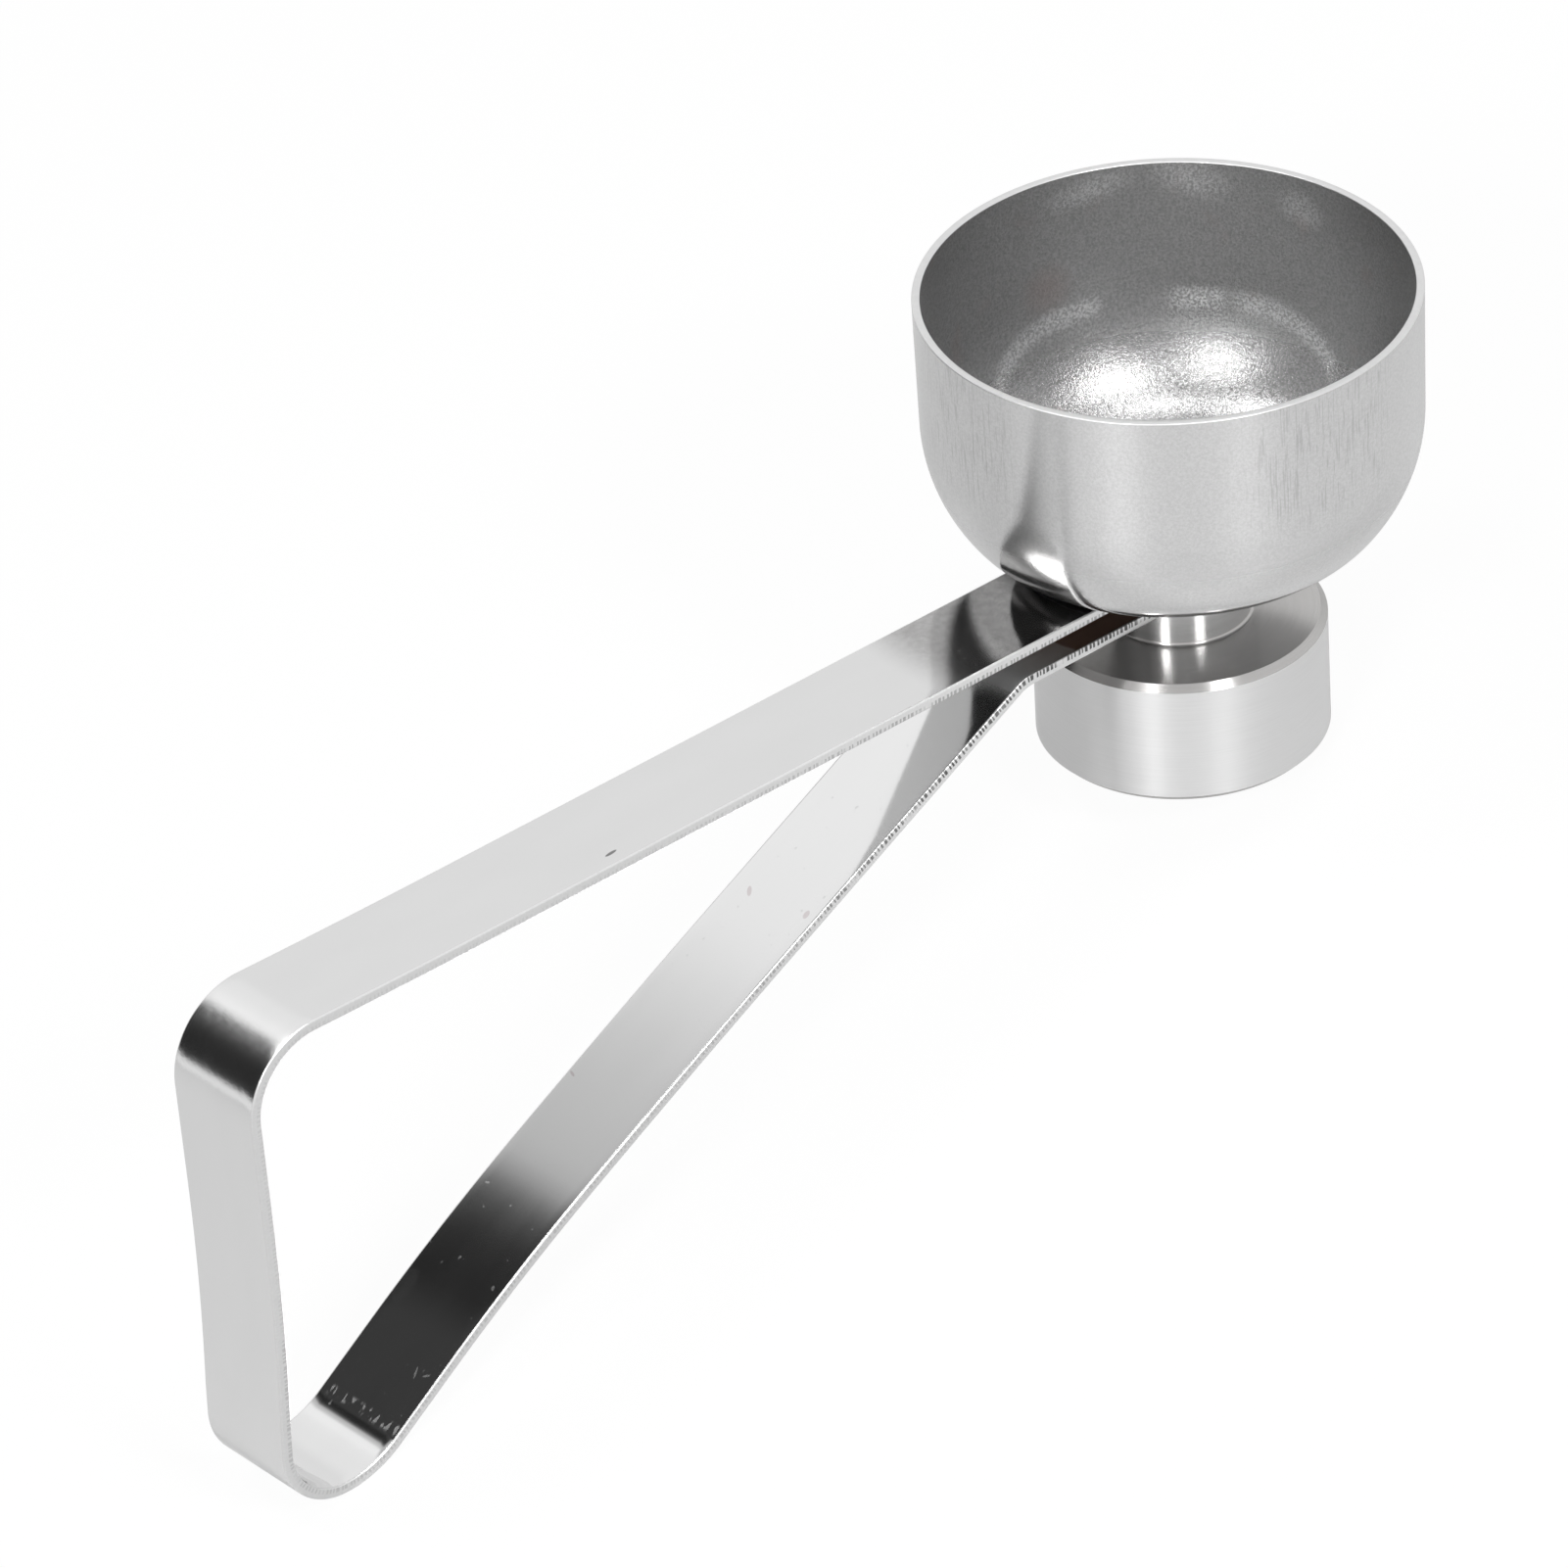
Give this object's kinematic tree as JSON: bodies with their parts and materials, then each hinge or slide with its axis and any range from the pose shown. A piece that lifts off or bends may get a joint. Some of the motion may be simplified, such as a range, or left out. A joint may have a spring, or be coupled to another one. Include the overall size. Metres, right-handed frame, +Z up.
{
  "type": "egg topper",
  "caption": "Spring egg topper: a drawn steel cup over a turned hammer weight, both carried by a bent flat strip whose loop is the handle.",
  "frame": {"origin": "middle of the tool's bounding box, on the table it lies on", "axes": "+X from the handle's far end towards the cup, along the table; +Z up from the table. The tool lies on the hammer's lower edge and the handle's lower bend, cup mouth up, so the cup's axis leans 13.6 degrees from +Z towards +X. The picture looks from the -Y side."},
  "size_m": [0.1166, 0.036, 0.0418],
  "materials": {
    "spring_strip": "polished stainless steel",
    "cup": "satin drawn stainless steel",
    "rivet": "plain stainless steel",
    "hammer": "turned stainless steel"
  },
  "bodies": {
    "hammer_side": {"handle_lower_arm": "spring_strip", "hammer": "hammer"},
    "cup_side": {"handle_upper_arm": "spring_strip", "cup": "cup", "cup_rivet": "rivet"}
  },
  "joints": [
    {"name": "handle_flex", "type": "hinge", "parent": "hammer_side", "child": "cup_side", "pos_m": [-0.05776, 0, 0.00667], "axis": [0, -1, 0], "range_deg": [-0.75, 6], "stiffness_Nm_per_rad": 1, "springref_deg": 0.75}
  ]
}
